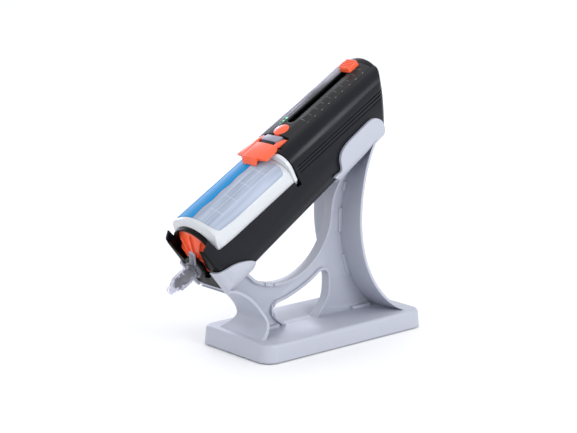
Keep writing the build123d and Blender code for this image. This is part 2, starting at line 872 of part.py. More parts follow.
with BuildPart() as latch:
    with BuildSketch(from_above(-10)):
        with BuildLine():
            Polyline(
                (-10.3, 108.3),
                (10.3, 108.3),
                (10.3, 113.2),
                (22, 114.2),
                (23, 116),
                (22, 130),
                (17.8, latch_end),
                (-17.8, latch_end),
                (-22, 130),
                (-23, 116),
                (-22, 114.2),
                (-10.3, 113.2),
                (-10.3, 108.3),
            )
        make_face()
        for side in (-1, 1):
            with Locations((side * (ear_inside + ear_outside) / 2, (latch_end - 4 + pin_s) / 2)):
                Rectangle(ear_outside - ear_inside, pin_s - latch_end + 4)
    extrude(amount=-30)
    with BuildSketch(across(100)):
        with BuildLine():
            ThreePointArc((-24, 1), (0, -0.8), (24, 1))
            Line((24, 1), (24, 12))
            Line((24, 12), (-24, 12))
            Line((-24, 12), (-24, 1))
        make_face()
    extrude(amount=60, mode=Mode.INTERSECT)
    with BuildSketch(from_side(0)):
        with BuildLine():
            Spline((114.5, -2), (111.5, 0.2), (109.6, 3), (108.3, 5.7))
            Line((108.3, 5.7), (109.6, 6.1))
            Spline((109.6, 6.1), (111.3, 4), (114, 2.4))
            Line((114, 2.4), (latch_end, 2.4))
            Line((latch_end, 2.4), (pin_s, pin_d + ear_radius))
            Line((pin_s, pin_d + ear_radius), (pin_s + 6, pin_d))
            Line((pin_s + 6, pin_d), (pin_s, pin_d - ear_radius))
            Line((pin_s, pin_d - ear_radius), (latch_end - 1, -2))
            Line((latch_end - 1, -2), (114.5, -2))
        make_face()
    extrude(amount=30, both=True, mode=Mode.INTERSECT)
    for side in (-1, 1):
        with BuildSketch(from_side(side * (ear_inside + ear_outside) / 2)):
            with Locations((pin_s, pin_d)):
                Circle(ear_radius)
        extrude(amount=(ear_outside - ear_inside) / 2, both=True)
    with BuildSketch(from_side(0)):
        with Locations((pin_s, pin_d)):
            Circle(pin_radius + fit)
    extrude(amount=30, both=True, mode=Mode.SUBTRACT)

# Cartridge: a crowned outer shell, two barrels with their rear flange, and the
# conical cap that joins both outlets in front


def shell_outline(inset):
    half = body_half - 1.6 - inset
    top = shell_crest + inset
    with BuildLine() as line:
        ThreePointArc((-half + 13, top + 4.6), (0, top), (half - 13, top + 4.6))
        for side in (-1, 1):
            ThreePointArc(
                (side * (half - 13), top + 4.6),
                (side * (half - 3.7), top + 9.6),
                (side * half, top + 18.5),
            )
            Line((side * half, top + 18.5), (side * half, shell_bottom))
        Line((-half, shell_bottom), (half, shell_bottom))
    return line.edges()


with BuildPart() as cartridge_shell:
    with BuildSketch(across(band_rear + 0.3)):
        make_face(arch_outline(band_crest - 0.5, band_half + 2, shell_bottom))
    with BuildSketch(across(band_rear + 4)):
        make_face(shell_outline(0))
    loft(ruled=True)
    with BuildSketch(across(band_rear + 4)):
        make_face(shell_outline(0))
    extrude(amount=shell_rear - band_rear - 4)
    add(housing_form(-1.6), mode=Mode.INTERSECT)
    with BuildSketch(across(band_rear + 4.5)):
        make_face(shell_outline(shell_wall))
    extrude(amount=shell_rear, mode=Mode.SUBTRACT)
    with BuildSketch(across(band_rear - 5)):
        make_face(arch_outline(band_crest + 1.2, band_half - 1.5, 60))
    extrude(amount=10, mode=Mode.SUBTRACT)

with BuildPart() as cartridge_barrels:
    with BuildSketch(across(flange_front)):
        with BuildLine():
            ThreePointArc((-crease_x - 0.3, 4), (0, 2.8), (crease_x + 0.3, 4))
            for side in (-1, 1):
                Spline(
                    (side * (crease_x + 0.3), 4),
                    (side * 31.2, 6.6),
                    (side * (body_half - 0.3), 14),
                    (side * body_half, 25.6),
                    (side * (body_half - 0.5), bay_wall_d - 1),
                )
                Line((side * (body_half - 0.5), bay_wall_d - 1), (side * 31.3, 40.4))
                Line((side * 31.3, 40.4), (side * 11.9, 40.4))
                Line((side * 11.9, 40.4), (side * 9, 46))
            Line((-9, 46), (9, 46))
        make_face()
    extrude(amount=flange_rear - flange_front)
    with BuildSketch(across(barrel_front)):
        with Locations((base_x, base_d)):
            Circle(base_radius)
        with Locations((catalyst_x, catalyst_d)):
            Circle(catalyst_radius)
    extrude(amount=flange_rear - barrel_front)
    with BuildSketch(across(barrel_front + barrel_end_wall)):
        with Locations((base_x, base_d)):
            Circle(base_radius - barrel_wall)
        with Locations((catalyst_x, catalyst_d)):
            Circle(catalyst_radius - barrel_wall)
    extrude(amount=flange_rear, mode=Mode.SUBTRACT)
    with BuildSketch(across(barrel_front)):
        with Locations((base_x + 6, base_d + 8), (catalyst_x - 4, catalyst_d + 5)):
            Circle(3)
    extrude(amount=barrel_end_wall, mode=Mode.SUBTRACT)

cap_rear = band_rear - cap_gap

with BuildPart() as cartridge_cap:
    with BuildSketch(across(cap_rear)):
        make_face(arch_outline(band_crest + band_thickness + body_gap, band_half - band_thickness - 1, 60))
    with BuildSketch(at(0, 0, outlet_s)):
        make_face(arch_outline(shaft_d - outlet_radius - 6, outlet_radius * 1.3, shaft_d + 8))
    loft(ruled=True)
    with BuildSketch(across(cap_rear)):
        make_face(arch_outline(band_crest + band_thickness + body_gap, band_half - band_thickness - 1, 60))
    extrude(amount=barrel_front - cap_rear)
    with BuildSketch(at(0, shaft_d, outlet_s - 1.5)):
        Circle(outlet_radius)
    extrude(amount=4)
    for turn in (-56, -28, 0, 28, 56):
        outward = rise * cos(radians(turn)) + Vector(sin(radians(turn)), 0, 0)
        end = min(31, 22 / max(abs(sin(radians(turn))), 0.1))
        with BuildSketch(Plane(origin=at(0, shaft_d, 0).origin, x_dir=outward, z_dir=outward.cross(along))):
            Polygon(
                (outlet_radius - 0.1, outlet_s + 3),
                (outlet_radius - 0.1, outlet_s - rib_height),
                (outlet_radius + 1, outlet_s - rib_height),
                (end, outlet_s - rib_height + 4.4),
                (end + 3, cap_rear),
                (end + 3, cap_rear + 2),
                align=None,
            )
        extrude(amount=rib_thickness / 2, both=True)
    with BuildSketch(at(0, shaft_d, 0)):
        Circle(shaft_radius + fit)
    extrude(amount=60, mode=Mode.SUBTRACT)

with BuildPart() as base_piston:
    with BuildSketch(at(base_x, base_d, piston_rest - piston_length)):
        Circle(base_radius - barrel_wall - piston_fit)
    extrude(amount=piston_length)
    with BuildSketch(at(base_x, base_d, piston_rest - piston_length + 3.5)):
        Circle(base_radius)
        Circle(base_radius - barrel_wall - 1, mode=Mode.SUBTRACT)
    extrude(amount=4, mode=Mode.SUBTRACT)

with BuildPart() as catalyst_piston:
    with BuildSketch(at(catalyst_x, catalyst_d, piston_rest - piston_length)):
        Circle(catalyst_radius - barrel_wall - piston_fit)
    extrude(amount=piston_length)
    with BuildSketch(at(catalyst_x, catalyst_d, piston_rest - piston_length + 3.5)):
        Circle(catalyst_radius)
        Circle(catalyst_radius - barrel_wall - 1, mode=Mode.SUBTRACT)
    extrude(amount=4, mode=Mode.SUBTRACT)

# Mixing tip: a clear barrel with a step, a shoulder and a nozzle, seated in a
# collar whose bayonet tab stands beside the face; the rotor turns inside

tip_back = outlet_s - tip_seat

with BuildPart() as mixing_tip:
    with BuildSketch(Plane(origin=at(0, shaft_d, 0).origin, x_dir=rise, z_dir=(-1, 0, 0))):
        with BuildLine():
            Polyline(
                (nozzle_radius - 1, tip_front),
                (nozzle_radius, tip_front),
                (nozzle_radius + 0.6, tip_front + 5),
                (tip_radius - 1.2, tip_front + 9.5),
                (tip_radius, tip_front + 12),
                (tip_radius, -7),
                (tip_radius - 0.8, -6),
                (tip_radius - 0.8, tip_back),
                (tip_radius - 0.8 - tip_wall, tip_back),
                (tip_radius - 0.8 - tip_wall, -6.5),
                (tip_radius - tip_wall, -7.5),
                (tip_radius - tip_wall, tip_front + 12.6),
                (nozzle_radius - 0.4, tip_front + 6.5),
                (nozzle_radius - 1, tip_front + 3),
                (nozzle_radius - 1, tip_front),
            )
        make_face()
    revolve(axis=Axis(at(0, shaft_d, 0).origin, along))

with BuildPart() as tip_collar:
    with BuildSketch(at(0, shaft_d, -2.3)):
        Circle(outlet_radius - 0.6)
        with PolarLocations(18, 1, start_angle=tab_angle):
            RectangleRounded(19, 7, 1.5)
        Circle(tip_radius - 0.8 + fit, mode=Mode.SUBTRACT)
    extrude(amount=2.4)
    with BuildSketch(at(0, shaft_d, 0)):
        Circle(outlet_radius - 0.6)
        Circle(tip_radius - 0.8 + fit, mode=Mode.SUBTRACT)
    extrude(amount=tip_back)

with BuildPart() as mixer_rotor:
    with BuildSketch(at(0, shaft_d, tip_front + 8)):
        Circle(2)
    extrude(amount=tip_back - tip_front - 13)
    for row in range(7):
        s = tip_front + 11.5 + row * 4.2
        blade = tip_radius - tip_wall - 0.9 if s < -9 else tip_radius - tip_wall - 1.3
        with BuildSketch(at(0, shaft_d, s)):
            with PolarLocations(blade / 2, 4, start_angle=row * 27):
                RectangleRounded(blade, 1.8, 0.5)
        extrude(amount=2.6)
    with BuildSketch(at(0, shaft_d, tip_back - 5)):
        Circle(2.6)
    extrude(amount=4.5)
    with BuildSketch(at(0, shaft_d, tip_back - 4.6)):
        RegularPolygon(1.5 + fit, 6)
    extrude(amount=10, mode=Mode.SUBTRACT)

# Drive of the mixing tip: a shaft under the cartridge, turned by a small motor
# through a pinion and a wheel


def toothed(teeth, width, bore, x, d, s, phase):
    pitch = module * teeth / 2
    foot = pitch - 1.25 * module
    with BuildPart() as wheel:
        with BuildSketch(at(x, d, s)):
            Circle(foot)
            with PolarLocations(0, teeth, start_angle=phase):
                Polygon(
                    (foot - 0.5, -0.95 * module),
                    (pitch, -0.62 * module),
                    (pitch + 0.85 * module, -0.3 * module),
                    (pitch + 0.85 * module, 0.3 * module),
                    (pitch, 0.62 * module),
                    (foot - 0.5, 0.95 * module),
                    align=None,
                )
            if bore > 0:
                Circle(bore, mode=Mode.SUBTRACT)
        extrude(amount=width)
    return wheel.part


mixer_reach = module * (wheel_teeth + pinion_teeth) / 2
mixer_x = mixer_reach * cos(radians(mesh_angle))
mixer_d = shaft_d + mixer_reach * sin(radians(mesh_angle))
motor_plate_start = gear_start + gear_width + 0.5
spindle = 1.5
shaft_end = motor_plate_start + plate_thickness - 0.2

with BuildPart() as drive_shaft:
    with BuildSketch(at(0, shaft_d, outlet_s - 2)):
        Circle(shaft_radius)
    extrude(amount=shaft_end - outlet_s + 2)
    with BuildSketch(at(0, shaft_d, tip_back - 4)):
        RegularPolygon(1.5, 6)
    extrude(amount=4.2)

with BuildPart() as mixer_gear:
    add(toothed(wheel_teeth, gear_width, shaft_radius + fit, 0, shaft_d, gear_start, mesh_angle))

with BuildPart() as mixer_pinion:
    half_tooth = 180 / pinion_teeth
    add(toothed(pinion_teeth, gear_width, 0, mixer_x, mixer_d, gear_start, mesh_angle + 180 + half_tooth))
    with BuildSketch(at(mixer_x, mixer_d, gear_start + gear_width)):
        Circle(spindle)
    extrude(amount=6)

with BuildPart() as mixer_motor:
    with BuildSketch(at(mixer_x, mixer_d, motor_plate_start + plate_thickness)):
        Circle(mixer_motor_radius)
    extrude(amount=mixer_motor_length)
    chamfer(mixer_motor.edges().filter_by(GeomType.CIRCLE).sort_by(Axis(crest, along))[-1], 1)
    with BuildSketch(at(mixer_x, mixer_d, motor_plate_start + plate_thickness)):
        Circle(spindle + fit)
    extrude(amount=5, mode=Mode.SUBTRACT)


def slab(start, thickness, top):
    """What a plate across the dispenser fills of the housing's inside below a depth."""
    with BuildPart() as plate:
        with BuildSketch(across(start)):
            with Locations((0, top + 60)):
                Rectangle(2 * body_half + 20, 120)
        extrude(amount=thickness)
        add(plates, mode=Mode.INTERSECT)
    return plate.part


with BuildPart() as bulkhead:
    add(slab(bulkhead_start, bulkhead_thickness, -10))
    with BuildSketch(across(bulkhead_start)):
        with Locations((base_x, base_d)):
            Circle(rod_radius + fit)
        with Locations((catalyst_x, catalyst_d)):
            Circle(thin_rod_radius + fit)
        with Locations((0, shaft_d)):
            Circle(shaft_radius + fit)
    extrude(amount=bulkhead_thickness, mode=Mode.SUBTRACT)
    with BuildSketch(at(screw_x, screw_d, bulkhead_start + 1.5)):
        Circle(2.5 + fit)
    extrude(amount=bulkhead_thickness, mode=Mode.SUBTRACT)

with BuildPart() as motor_plate:
    add(slab(motor_plate_start, plate_thickness, carriage_low + 1))
    with BuildSketch(across(motor_plate_start)):
        with Locations((0, shaft_d)):
            Circle(shaft_radius + fit)
        with Locations((mixer_x, mixer_d)):
            Circle(spindle + 1)
    extrude(amount=plate_thickness, mode=Mode.SUBTRACT)

# Feed drive: a motor turns the lead screw through a pinion and a wheel; the nut in
# the carriage pushes both plunger rods and carries the slider knob

feed_reach = module * (feed_teeth + pinion_teeth) / 2
feed_x = screw_x + 3.5
feed_d = screw_d + sqrt(feed_reach**2 - 3.5**2)
feed_angle = 80.4

with BuildPart() as rear_plate:
    add(slab(rear_plate_start, plate_thickness, 20))
    with BuildSketch(across(rear_plate_start)):
        with Locations((screw_x, screw_d)):
            Circle(shaft_radius + fit)
        with Locations((feed_x, feed_d)):
            Circle(spindle + 1)
    extrude(amount=plate_thickness, mode=Mode.SUBTRACT)

with BuildPart() as lead_screw:
    with BuildSketch(at(screw_x, screw_d, bulkhead_start + 1.7)):
        Circle(2.5)
    extrude(amount=bulkhead_thickness)
    with BuildSketch(at(screw_x, screw_d, bulkhead_start + bulkhead_thickness + 0.4)):
        Circle(lead_radius)
    extrude(amount=rear_plate_start - bulkhead_start - bulkhead_thickness - 0.8)
    with BuildSketch(at(screw_x, screw_d, rear_plate_start - 0.4)):
        Circle(shaft_radius)
    extrude(amount=12)

with BuildPart() as feed_gear:
    add(toothed(feed_teeth, gear_width, shaft_radius + fit, screw_x, screw_d, feed_start, feed_angle))

with BuildPart() as feed_pinion:
    half_tooth = 180 / pinion_teeth
    add(toothed(pinion_teeth, gear_width, 0, feed_x, feed_d, feed_start, feed_angle + 180 + half_tooth))
    with BuildSketch(at(feed_x, feed_d, feed_start)):
        Circle(spindle)
    extrude(amount=-6)

with BuildPart() as feed_motor:
    with BuildSketch(at(feed_x, feed_d, rear_plate_start)):
        Circle(feed_motor_radius)
    extrude(amount=-feed_motor_length)
    chamfer(feed_motor.edges().filter_by(GeomType.CIRCLE).sort_by(Axis(crest, along))[0], 1)
    with BuildSketch(at(feed_x, feed_d, rear_plate_start)):
        Circle(spindle + fit)
    extrude(amount=-5, mode=Mode.SUBTRACT)

with BuildPart() as carriage:
    with BuildSketch(across(carriage_start)):
        with Locations((4, 32.5)):
            RectangleRounded(48, 2 * (carriage_low - 32.5), 3)
        with Locations((0, (arm_d + 24) / 2)):
            Rectangle(2 * arm_half, 24 - arm_d)
        with Locations((screw_x, screw_d)):
            Circle(lead_radius + fit, mode=Mode.SUBTRACT)
    extrude(amount=carriage_length)
    with BuildSketch(across(carriage_start + carriage_length)):
        with Locations((0, arm_d + arm_depth / 2)):
            Rectangle(2 * arm_half, arm_depth)
    extrude(amount=knob_s + post_length / 2 - carriage_start - carriage_length)
    with BuildSketch(from_above(arm_d + arm_depth)):
        with Locations((0, knob_s)):
            Rectangle(2 * arm_half, post_length)
    extrude(amount=arm_d + arm_depth + 3)

with BuildPart() as plunger_rods:
    with BuildSketch(across(disc_front + disc_thickness)):
        with Locations((base_x, base_d)):
            Circle(rod_radius)
        with Locations((catalyst_x, catalyst_d)):
            Circle(thin_rod_radius)
    extrude(amount=carriage_start - disc_front - disc_thickness)

with BuildPart() as plunger_discs:
    with BuildSketch(across(disc_front)):
        with Locations((base_x, base_d)):
            Circle(base_radius - barrel_wall - 0.4)
        with Locations((catalyst_x, catalyst_d)):
            Circle(catalyst_radius - barrel_wall - 0.4)
    extrude(amount=disc_thickness)

with BuildPart() as slider_knob:
    with BuildSketch(from_above(-0.35)):
        with Locations((0, knob_s)):
            RectangleRounded(2 * knob_half, knob_length, 3)
    extrude(amount=knob_height, taper=8)
    fillet(slider_knob.faces().sort_by(Axis(crest, rise))[-1].edges(), 1.2)
    with BuildSketch(from_above(-0.35)):
        with Locations((0, knob_s)):
            Rectangle(2 * arm_half + 0.2, post_length + 0.2)
    extrude(amount=3, mode=Mode.SUBTRACT)
    for shift in (-4, -1.3, 1.4, 4.1):
        with BuildSketch(from_above(-knob_height - 1)):
            with Locations((0, knob_s + shift)):
                Rectangle(2 * knob_half, 1)
        extrude(amount=-1.3, mode=Mode.SUBTRACT)

# Controls: the domed start button over its switch, the circuit board, three small
# lights, the battery cells and the charging socket

with BuildPart() as start_button:
    with BuildSketch(Plane(origin=crest + along * button_s, x_dir=(1, 0, 0), z_dir=-along)):
        with BuildLine():
            ThreePointArc((0, 1.3), (button_radius / 2, 0.95), (button_radius, -0.2))
            Polyline(
                (button_radius, -0.2),
                (button_radius, -2.5),
                (button_radius + 1.1, -2.5),
                (button_radius + 1.1, -3.5),
                (1.8, -3.5),
                (1.8, -5.8),
                (0, -5.8),
                (0, 1.3),
            )
        make_face()
    revolve(axis=Axis(crest + along * button_s, rise))

with BuildPart() as button_switch:
    with BuildSketch(from_above(board_d)):
        with Locations((0, button_s)):
            Rectangle(12, 12)
    extrude(amount=board_d - 8.6)
    with BuildSketch(from_above(8.6)):
        with Locations((0, button_s)):
            Circle(2)
    extrude(amount=1)

with BuildPart() as circuit_board:
    with BuildSketch(from_above(board_d)):
        with Locations((0, (board_front + board_rear) / 2)):
            Rectangle(58, board_rear - board_front)
        with Locations((-18, (board_front + board_wing_rear) / 2)):
            Rectangle(22, board_wing_rear - board_front)
    extrude(amount=-board_thickness)

with BuildPart() as indicator_lights:
    with BuildSketch(from_above(4.5)):
        with Locations(*light_places):
            Circle(light_radius)
    extrude(amount=3.8)

with BuildPart() as battery_cells:
    with BuildSketch(across(cell_start)):
        with Locations((-cell_x, cell_d), (cell_x, cell_d)):
            Circle(cell_radius)
    extrude(amount=cell_length)
    with BuildSketch(across(cell_start + cell_length)):
        with Locations((-cell_x, cell_d), (cell_x, cell_d)):
            Circle(3)
    extrude(amount=1.2)

with BuildPart() as charging_socket:
    with BuildSketch(at(0, socket_d, socket_end - 12)):
        Circle(socket_radius)
    extrude(amount=12)
    with BuildSketch(at(0, socket_d, socket_end - 9)):
        Circle(socket_bore)
    extrude(amount=9, mode=Mode.SUBTRACT)
    with BuildSketch(at(0, socket_d, socket_end - 12)):
        Circle(socket_lead)
    extrude(amount=12, mode=Mode.SUBTRACT)

names = {
    "stand_base": stand_base,
    "base_feet": base_feet,
    "base_screws": base_screws,
    "side_web": side_web,
    "front_leg": front_leg,
    "back_column": back_column,
    "front_cradle": front_cradle,
    "rear_cradle": rear_cradle,
    "lower_housing": lower_housing,
    "upper_housing": upper_housing,
    "top_panel": top_panel,
    "front_bezel": front_bezel,
    "bulkhead": bulkhead,
    "motor_plate": motor_plate,
    "rear_plate": rear_plate,
    "hinge_block": hinge_block,
    "latch_pin": latch_pin,
    "latch": latch,
    "cartridge_shell": cartridge_shell,
    "cartridge_barrels": cartridge_barrels,
    "cartridge_cap": cartridge_cap,
    "base_piston": base_piston,
    "catalyst_piston": catalyst_piston,
    "mixing_tip": mixing_tip,
    "tip_collar": tip_collar,
    "mixer_rotor": mixer_rotor,
    "drive_shaft": drive_shaft,
    "mixer_gear": mixer_gear,
    "mixer_pinion": mixer_pinion,
    "mixer_motor": mixer_motor,
    "lead_screw": lead_screw,
    "feed_gear": feed_gear,
    "feed_pinion": feed_pinion,
    "feed_motor": feed_motor,
    "carriage": carriage,
    "plunger_rods": plunger_rods,
    "plunger_discs": plunger_discs,
    "slider_knob": slider_knob,
    "start_button": start_button,
    "button_switch": button_switch,
    "circuit_board": circuit_board,
    "indicator_lights": indicator_lights,
    "battery_cells": battery_cells,
    "charging_socket": charging_socket,
}
for name, piece in names.items():
    piece.part.label = name
    export_step(piece.part, f"parts/{name}.step")
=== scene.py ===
import json
import math

import bpy
from mathutils import Matrix, Vector


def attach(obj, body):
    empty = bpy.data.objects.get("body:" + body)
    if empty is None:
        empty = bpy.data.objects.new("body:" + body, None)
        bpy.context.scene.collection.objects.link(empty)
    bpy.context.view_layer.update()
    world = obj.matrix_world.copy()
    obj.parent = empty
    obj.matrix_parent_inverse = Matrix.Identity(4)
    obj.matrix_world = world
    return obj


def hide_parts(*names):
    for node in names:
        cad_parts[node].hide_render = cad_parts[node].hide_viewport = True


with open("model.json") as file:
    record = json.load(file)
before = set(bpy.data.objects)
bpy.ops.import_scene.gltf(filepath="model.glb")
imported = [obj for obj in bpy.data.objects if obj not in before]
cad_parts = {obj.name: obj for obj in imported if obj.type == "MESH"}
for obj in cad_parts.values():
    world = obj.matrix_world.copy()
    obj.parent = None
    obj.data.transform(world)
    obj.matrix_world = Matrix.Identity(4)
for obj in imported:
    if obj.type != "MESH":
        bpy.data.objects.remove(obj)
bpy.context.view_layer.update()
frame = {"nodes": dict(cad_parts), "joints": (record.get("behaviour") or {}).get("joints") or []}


# --- Camera ---------------------------------------------------------------------------
# The picture is taken from the front right, a little above the table, with a long
# lens, so that the leaning dispenser shows its top strip and one side of the stand.

view_from = Vector((1.3144, -1.1309, 0.524))
turned, raised = math.radians(49.16), math.radians(12.72)

bpy.ops.object.camera_add(location=view_from)
camera = bpy.context.object
camera.name = "studio_camera"
camera.data.lens = 109.0
camera.data.sensor_width = 36
camera.data.clip_end = 60
backward = Vector((
    math.sin(turned) * math.cos(raised),
    -math.cos(turned) * math.cos(raised),
    math.sin(raised),
))
camera.rotation_mode = "QUATERNION"
camera.rotation_quaternion = (-backward).to_track_quat("-Z", "Y")
bpy.context.scene.camera = camera


# --- Stand base -----------------------------------------------------------------------
# A low tray of light grey-lilac ABS, injection moulded with a fine spark-eroded
# grain; its corners and top edge are rounded and it stands on four soft pads.

# Points nearer than this are one point; faces that turn less than flat_turn are one
# flat, edges up to smooth_turn shade smoothly and those past sharp_turn are eased.
same_point = 0.000002
flat_turn = math.radians(0.6)
smooth_turn = math.radians(32)
sharp_turn = math.radians(40)


def alone(piece):
    """Leave only this piece selected, as a click on it does."""
    bpy.ops.object.select_all(action="DESELECT")
    piece.select_set(True)
    bpy.context.view_layer.objects.active = piece


def eased(node, body, edge=0.0, rounds=2):
    """The finished moulding of a CAD solid, joined up and with its edges eased."""
    piece = bpy.data.objects.new(node + "_moulding", frame["nodes"][node].data.copy())
    bpy.context.scene.collection.objects.link(piece)
    alone(piece)
    piece.data.materials.clear()
    bpy.ops.object.mode_set(mode="EDIT")
    bpy.ops.mesh.select_all(action="SELECT")
    bpy.ops.mesh.customdata_custom_splitnormals_clear()
    bpy.ops.mesh.remove_doubles(threshold=same_point)
    bpy.ops.mesh.dissolve_limited(angle_limit=flat_turn)
    bpy.ops.object.mode_set(mode="OBJECT")
    if edge:
        bevel = piece.modifiers.new("eased_edges", "BEVEL")
        bevel.width = edge
        bevel.segments = rounds
        bevel.limit_method = "ANGLE"
        bevel.angle_limit = sharp_turn
        bevel.harden_normals = False
        bevel.use_clamp_overlap = True
        bpy.ops.object.modifier_apply(modifier=bevel.name)
    bpy.ops.object.shade_smooth_by_angle(angle=smooth_turn)
    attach(piece, body)
    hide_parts(node)
    return piece


def effect(name, inputs, outputs):
    """An empty shader group with its named inputs and outputs."""
    group = bpy.data.node_groups.new(name, "ShaderNodeTree")
    for label, kind, value in inputs:
        socket = group.interface.new_socket(label, in_out="INPUT", socket_type=kind)
        socket.default_value = value
    for label, kind in outputs:
        group.interface.new_socket(label, in_out="OUTPUT", socket_type=kind)
    return group, group.nodes.new("NodeGroupInput"), group.nodes.new("NodeGroupOutput")


# The grain that the mould leaves: fine pits, and broad soft patches where the skin
# came out a little glossier.
mould_grain, grain_in, grain_out = effect(
    "mould grain",
    [
        ("Grain Size", "NodeSocketFloat", 2500.0),
        ("Depth", "NodeSocketFloat", 0.1),
        ("Glossy", "NodeSocketFloat", 0.3),
        ("Dull", "NodeSocketFloat", 0.45),
    ],
    [
        ("Roughness", "NodeSocketFloat"),
        ("Normal", "NodeSocketVector"),
        ("Patches", "NodeSocketFloat"),
    ],
)
where = mould_grain.nodes.new("ShaderNodeTexCoord")
pits = mould_grain.nodes.new("ShaderNodeTexNoise")
pits.inputs["Detail"].default_value = 2
patches = mould_grain.nodes.new("ShaderNodeTexNoise")
patches.inputs["Scale"].default_value = 22
patches.inputs["Detail"].default_value = 3
gloss = mould_grain.nodes.new("ShaderNodeMapRange")
gloss.inputs["From Min"].default_value = 0.35
gloss.inputs["From Max"].default_value = 0.65
relief = mould_grain.nodes.new("ShaderNodeBump")
relief.inputs["Distance"].default_value = 0.0001
link = mould_grain.links.new
link(where.outputs["Object"], pits.inputs["Vector"])
link(where.outputs["Object"], patches.inputs["Vector"])
link(grain_in.outputs["Grain Size"], pits.inputs["Scale"])
link(patches.outputs["Fac"], gloss.inputs["Value"])
link(grain_in.outputs["Glossy"], gloss.inputs["To Min"])
link(grain_in.outputs["Dull"], gloss.inputs["To Max"])
link(pits.outputs["Fac"], relief.inputs["Height"])
link(grain_in.outputs["Depth"], relief.inputs["Strength"])
link(gloss.outputs["Result"], grain_out.inputs["Roughness"])
link(relief.outputs["Normal"], grain_out.inputs["Normal"])
link(patches.outputs["Fac"], grain_out.inputs["Patches"])


def moulded(name, colour, shade, glossy, dull, size=2500.0, depth=0.1, shine=0.5):
    """A moulded plastic: two near colours in soft patches and the grain of its mould."""
    made = bpy.data.materials.new(name)
    made.use_nodes = True
    nodes, links = made.node_tree.nodes, made.node_tree.links
    surface = nodes["Principled BSDF"]
    surface.inputs["Specular IOR Level"].default_value = shine
    grain = nodes.new("ShaderNodeGroup")
    grain.node_tree = mould_grain
    grain.inputs["Grain Size"].default_value = size
    grain.inputs["Depth"].default_value = depth
    grain.inputs["Glossy"].default_value = glossy
    grain.inputs["Dull"].default_value = dull
    tone = nodes.new("ShaderNodeMix")
    tone.data_type = "RGBA"
    tone.inputs["A"].default_value = (*colour, 1)
    tone.inputs["B"].default_value = (*shade, 1)
    links.new(grain.outputs["Patches"], tone.inputs["Factor"])
    links.new(tone.outputs["Result"], surface.inputs["Base Color"])
    links.new(grain.outputs["Roughness"], surface.inputs["Roughness"])
    links.new(grain.outputs["Normal"], surface.inputs["Normal"])
    return made


stand_plastic = moulded(
    "grey_lilac_abs", (0.462, 0.482, 0.560), (0.439, 0.458, 0.535),
    glossy=0.38, dull=0.5, size=3200, depth=0.12,
)

base = eased("stand_base", "stand", edge=0.0007)
base.data.materials.append(stand_plastic)


# --- Feet and base screws -------------------------------------------------------------
# Four black rubber pads let into the tray's corners, and eight self-cutting steel
# screws that hold the web's foot flanges from below.

pad_rubber = moulded(
    "black_rubber", (0.02, 0.02, 0.02), (0.03, 0.03, 0.03),
    glossy=0.7, dull=0.85, size=1800, depth=0.5,
)
feet = eased("base_feet", "stand", edge=0.0004)
feet.data.materials.append(pad_rubber)


def cad_finish(node, material):
    """A CAD piece whose shape is right gets its finish."""
    for slot in frame["nodes"][node].material_slots:
        slot.material = material


def metal(name, colour, glossy, dull, streak=(1, 1, 1), darker=0.8):
    """Turned, drawn or rolled metal with tool marks along one direction."""
    made = bpy.data.materials.new(name)
    made.use_nodes = True
    nodes, links = made.node_tree.nodes, made.node_tree.links
    surface = nodes["Principled BSDF"]
    surface.inputs["Metallic"].default_value = 1
    spot = nodes.new("ShaderNodeTexCoord")
    pull = nodes.new("ShaderNodeMapping")
    pull.inputs["Scale"].default_value = streak
    marks = nodes.new("ShaderNodeTexNoise")
    marks.inputs["Scale"].default_value = 900
    marks.inputs["Detail"].default_value = 3
    spread = nodes.new("ShaderNodeMapRange")
    spread.inputs["To Min"].default_value = glossy
    spread.inputs["To Max"].default_value = dull
    tone = nodes.new("ShaderNodeMix")
    tone.data_type = "RGBA"
    tone.inputs["A"].default_value = (*colour, 1)
    tone.inputs["B"].default_value = (*(darker * part for part in colour), 1)
    links.new(spot.outputs["Object"], pull.inputs["Vector"])
    links.new(pull.outputs["Vector"], marks.inputs["Vector"])
    links.new(marks.outputs["Fac"], spread.inputs["Value"])
    links.new(marks.outputs["Fac"], tone.inputs["Factor"])
    links.new(tone.outputs["Result"], surface.inputs["Base Color"])
    links.new(spread.outputs["Result"], surface.inputs["Roughness"])
    return made


bright_steel = metal(
    "bright_steel", (0.62, 0.62, 0.63), glossy=0.2, dull=0.4, streak=(1, 1, 0.1)
)
cad_finish("base_screws", bright_steel)


# --- Leg, column and web --------------------------------------------------------------
# Three thin mouldings of the same plastic as the base: a shin-shaped sheet in front,
# a hollow-backed column behind, and the rimmed web that clips between them.

leg = eased("front_leg", "stand", edge=0.0006)
leg.data.materials.append(stand_plastic)
column = eased("back_column", "stand", edge=0.0006)
column.data.materials.append(stand_plastic)
web = eased("side_web", "stand", edge=0.0004)
web.data.materials.append(stand_plastic)


# --- Cradles --------------------------------------------------------------------------
# Two seats moulded to the dispenser's underside, with rounded wings up its sides.

for seat in ("front_cradle", "rear_cradle"):
    cradle = eased(seat, "stand", edge=0.0009, rounds=3)
    cradle.data.materials.append(stand_plastic)


# --- Dispenser housing ----------------------------------------------------------------
# Two halves in near-black ABS with a satin skin, parted along the side grooves. The
# lower half carries everything; the leaning face piece closes the nose.

body_plastic = moulded(
    "near_black_abs", (0.005, 0.0055, 0.009), (0.008, 0.0085, 0.013),
    glossy=0.25, dull=0.34, size=2600, depth=0.08, shine=0.2,
)
face_plastic = moulded(
    "black_gloss_abs", (0.002, 0.002, 0.002), (0.003, 0.003, 0.003),
    glossy=0.3, dull=0.42, size=2600, depth=0.03, shine=0.12,
)
for half in ("lower_housing", "upper_housing"):
    shell = eased(half, "dispenser", edge=0.00035)
    shell.data.materials.append(body_plastic)
face = eased("front_bezel", "dispenser", edge=0.0003)
face.data.materials.append(face_plastic)


